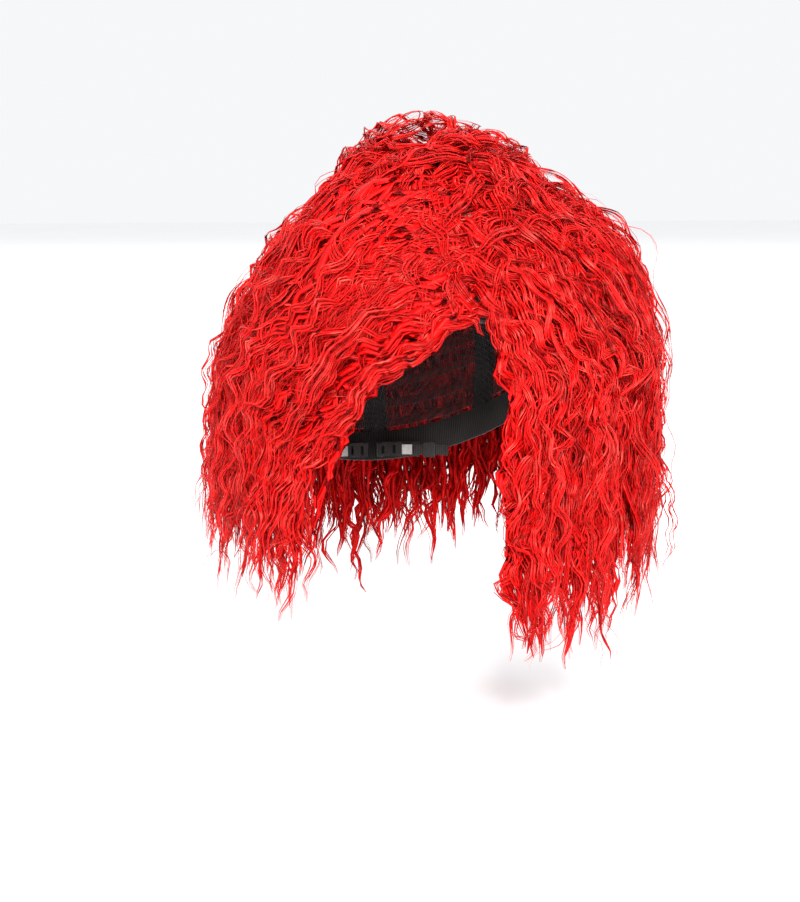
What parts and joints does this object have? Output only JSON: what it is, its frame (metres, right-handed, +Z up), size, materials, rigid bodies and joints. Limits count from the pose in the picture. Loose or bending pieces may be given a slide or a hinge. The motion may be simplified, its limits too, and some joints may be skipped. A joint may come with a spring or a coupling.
{
  "type": "costume wig",
  "caption": "Bright red crimped costume wig on a stretch-net cap, with a middle parting, a slanting forelock, hanging side and back curtains, ear tabs and nape straps.",
  "frame": {"origin": "middle of the wearer's head at hat-band level, where the cap sits", "axes": "+Z up the head, -Y the way the face looks, +X to the wearer's left"},
  "size_m": [0.268, 0.2663, 0.3148],
  "materials": {
    "hair_red": "crimped synthetic fibre, satin sheen",
    "weft_red": "stitched fibre heads, matt",
    "net_black": "open stretch net, matt",
    "satin": "satin-woven lining",
    "elastic": "ribbed elastic, matt",
    "tape_cloth": "woven cotton tape",
    "skin_mesh": "fine skin-coloured mesh",
    "felt": "pressed felt",
    "label_cloth": "blank satin-woven label",
    "clear_plastic": "frosted moulded plastic"
  },
  "bodies": {
    "cap": {"back_side_tape_left": "tape_cloth", "back_side_tape_right": "tape_cloth", "blank_label": "label_cloth", "centre_back_tape": "tape_cloth", "crown_patch": "felt", "front_band": "satin", "hair_top_back": "hair_red", "hair_top_left": "hair_red", "hair_top_right": "hair_red", "hair_under_back": "hair_red", "hair_under_left": "hair_red", "hair_under_right": "hair_red", "hook_tape_left": "tape_cloth", "hook_tape_right": "tape_cloth", "nape_band": "elastic", "net_panel_back_left": "net_black", "net_panel_back_right": "net_black", "net_panel_front_left": "net_black", "net_panel_front_right": "net_black", "parting_strip": "skin_mesh", "side_seam_tape_left": "tape_cloth", "side_seam_tape_right": "tape_cloth", "strap_keeper_left": "tape_cloth", "strap_keeper_right": "tape_cloth", "temple_tape_left": "tape_cloth", "temple_tape_right": "tape_cloth", "weft_row_01": "weft_red", "weft_row_02": "weft_red", "weft_row_03": "weft_red", "weft_row_04": "weft_red", "weft_row_05": "weft_red", "weft_row_06": "weft_red", "weft_row_07": "weft_red", "weft_row_08": "weft_red", "weft_row_09": "weft_red"},
    "hair_left": {"curtain_left": "hair_red", "curtain_under_left": "hair_red"},
    "hair_right": {"curtain_right": "hair_red", "curtain_under_right": "hair_red", "forelock_right": "hair_red"},
    "hair_back": {"curtain_back": "hair_red", "curtain_under_back": "hair_red", "nape_hair": "hair_red"},
    "ear_tab_left": {"ear_tab_left": "satin", "ear_tab_stay_left": "clear_plastic"},
    "ear_tab_right": {"ear_tab_right": "satin", "ear_tab_stay_right": "clear_plastic"},
    "strap_left": {"adjusting_strap_left": "elastic", "strap_hook_left": "clear_plastic"},
    "strap_right": {"adjusting_strap_right": "elastic", "strap_hook_right": "clear_plastic"}
  },
  "joints": [
    {"name": "hair_swing_left", "type": "hinge", "parent": "cap", "child": "hair_left", "pos_m": [0.102, 0, 0.002], "axis": [0, -1, 0], "range_deg": [0, 25]},
    {"name": "hair_swing_right", "type": "hinge", "parent": "cap", "child": "hair_right", "pos_m": [-0.092, 0, 0.002], "axis": [0, 1, 0], "range_deg": [0, 25]},
    {"name": "hair_swing_back", "type": "hinge", "parent": "cap", "child": "hair_back", "pos_m": [0.01, 0.106, 0.002], "axis": [1, 0, 0], "range_deg": [0, 25]},
    {"name": "ear_tab_flex_left", "type": "hinge", "parent": "cap", "child": "ear_tab_left", "pos_m": [0.0743, -0.032, -0.0002], "axis": [-0.261, -0.854, 0.45], "range_deg": [-20, 6]},
    {"name": "ear_tab_flex_right", "type": "hinge", "parent": "cap", "child": "ear_tab_right", "pos_m": [-0.0743, -0.032, -0.0002], "axis": [-0.261, 0.854, -0.45], "range_deg": [-20, 6]},
    {"name": "strap_adjust_left", "type": "hinge", "parent": "cap", "child": "strap_left", "pos_m": [0, 0.0273, -0.054], "axis": [0, 0, 1], "range_deg": [0, 14]},
    {"name": "strap_adjust_right", "type": "hinge", "parent": "cap", "child": "strap_right", "pos_m": [0, 0.0273, -0.054], "axis": [0, 0, -1], "range_deg": [0, 14]}
  ]
}
